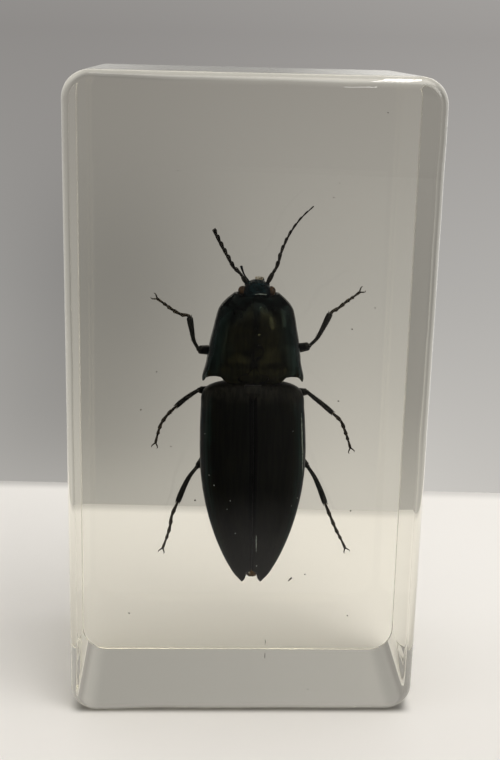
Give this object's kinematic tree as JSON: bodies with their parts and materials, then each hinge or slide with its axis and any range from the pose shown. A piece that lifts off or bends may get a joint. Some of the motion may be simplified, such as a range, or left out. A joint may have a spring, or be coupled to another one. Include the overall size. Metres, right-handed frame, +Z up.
{
  "type": "click beetle specimen in a clear resin block",
  "caption": "A dark metallic click beetle with spread legs and antennae, cast in an upright block of clear resin with rounded edges, for display or study.",
  "frame": {"origin": "centre of the block's flat base, which it stands on", "axes": "+Z up, along the block's height and towards the beetle's head; -Y towards the front face, which the beetle's back looks at; +X to the right seen from the front"},
  "size_m": [0.04, 0.026, 0.073],
  "materials": {
    "resin": "clear cast resin, polished, faintly yellow",
    "thorax_shell": "glossy dark green-gold chitin",
    "wing_case": "near-black chitin with teal flanks, finely pitted",
    "underside": "dark brown chitin",
    "leg": "near-black brown chitin",
    "antenna": "dull dark brown chitin",
    "eye": "glossy orange-brown",
    "dust": "dull dark grey specks"
  },
  "bodies": {
    "root": {"block_front": "resin", "block_back": "resin", "head": "thorax_shell", "prothorax": "thorax_shell", "hind_body": "underside", "elytron_left": "wing_case", "elytron_right": "wing_case", "leg_front_left": "leg", "leg_front_right": "leg", "leg_middle_left": "leg", "leg_middle_right": "leg", "leg_hind_left": "leg", "leg_hind_right": "leg", "antenna_left": "antenna", "antenna_right": "antenna"}
  },
  "joints": []
}
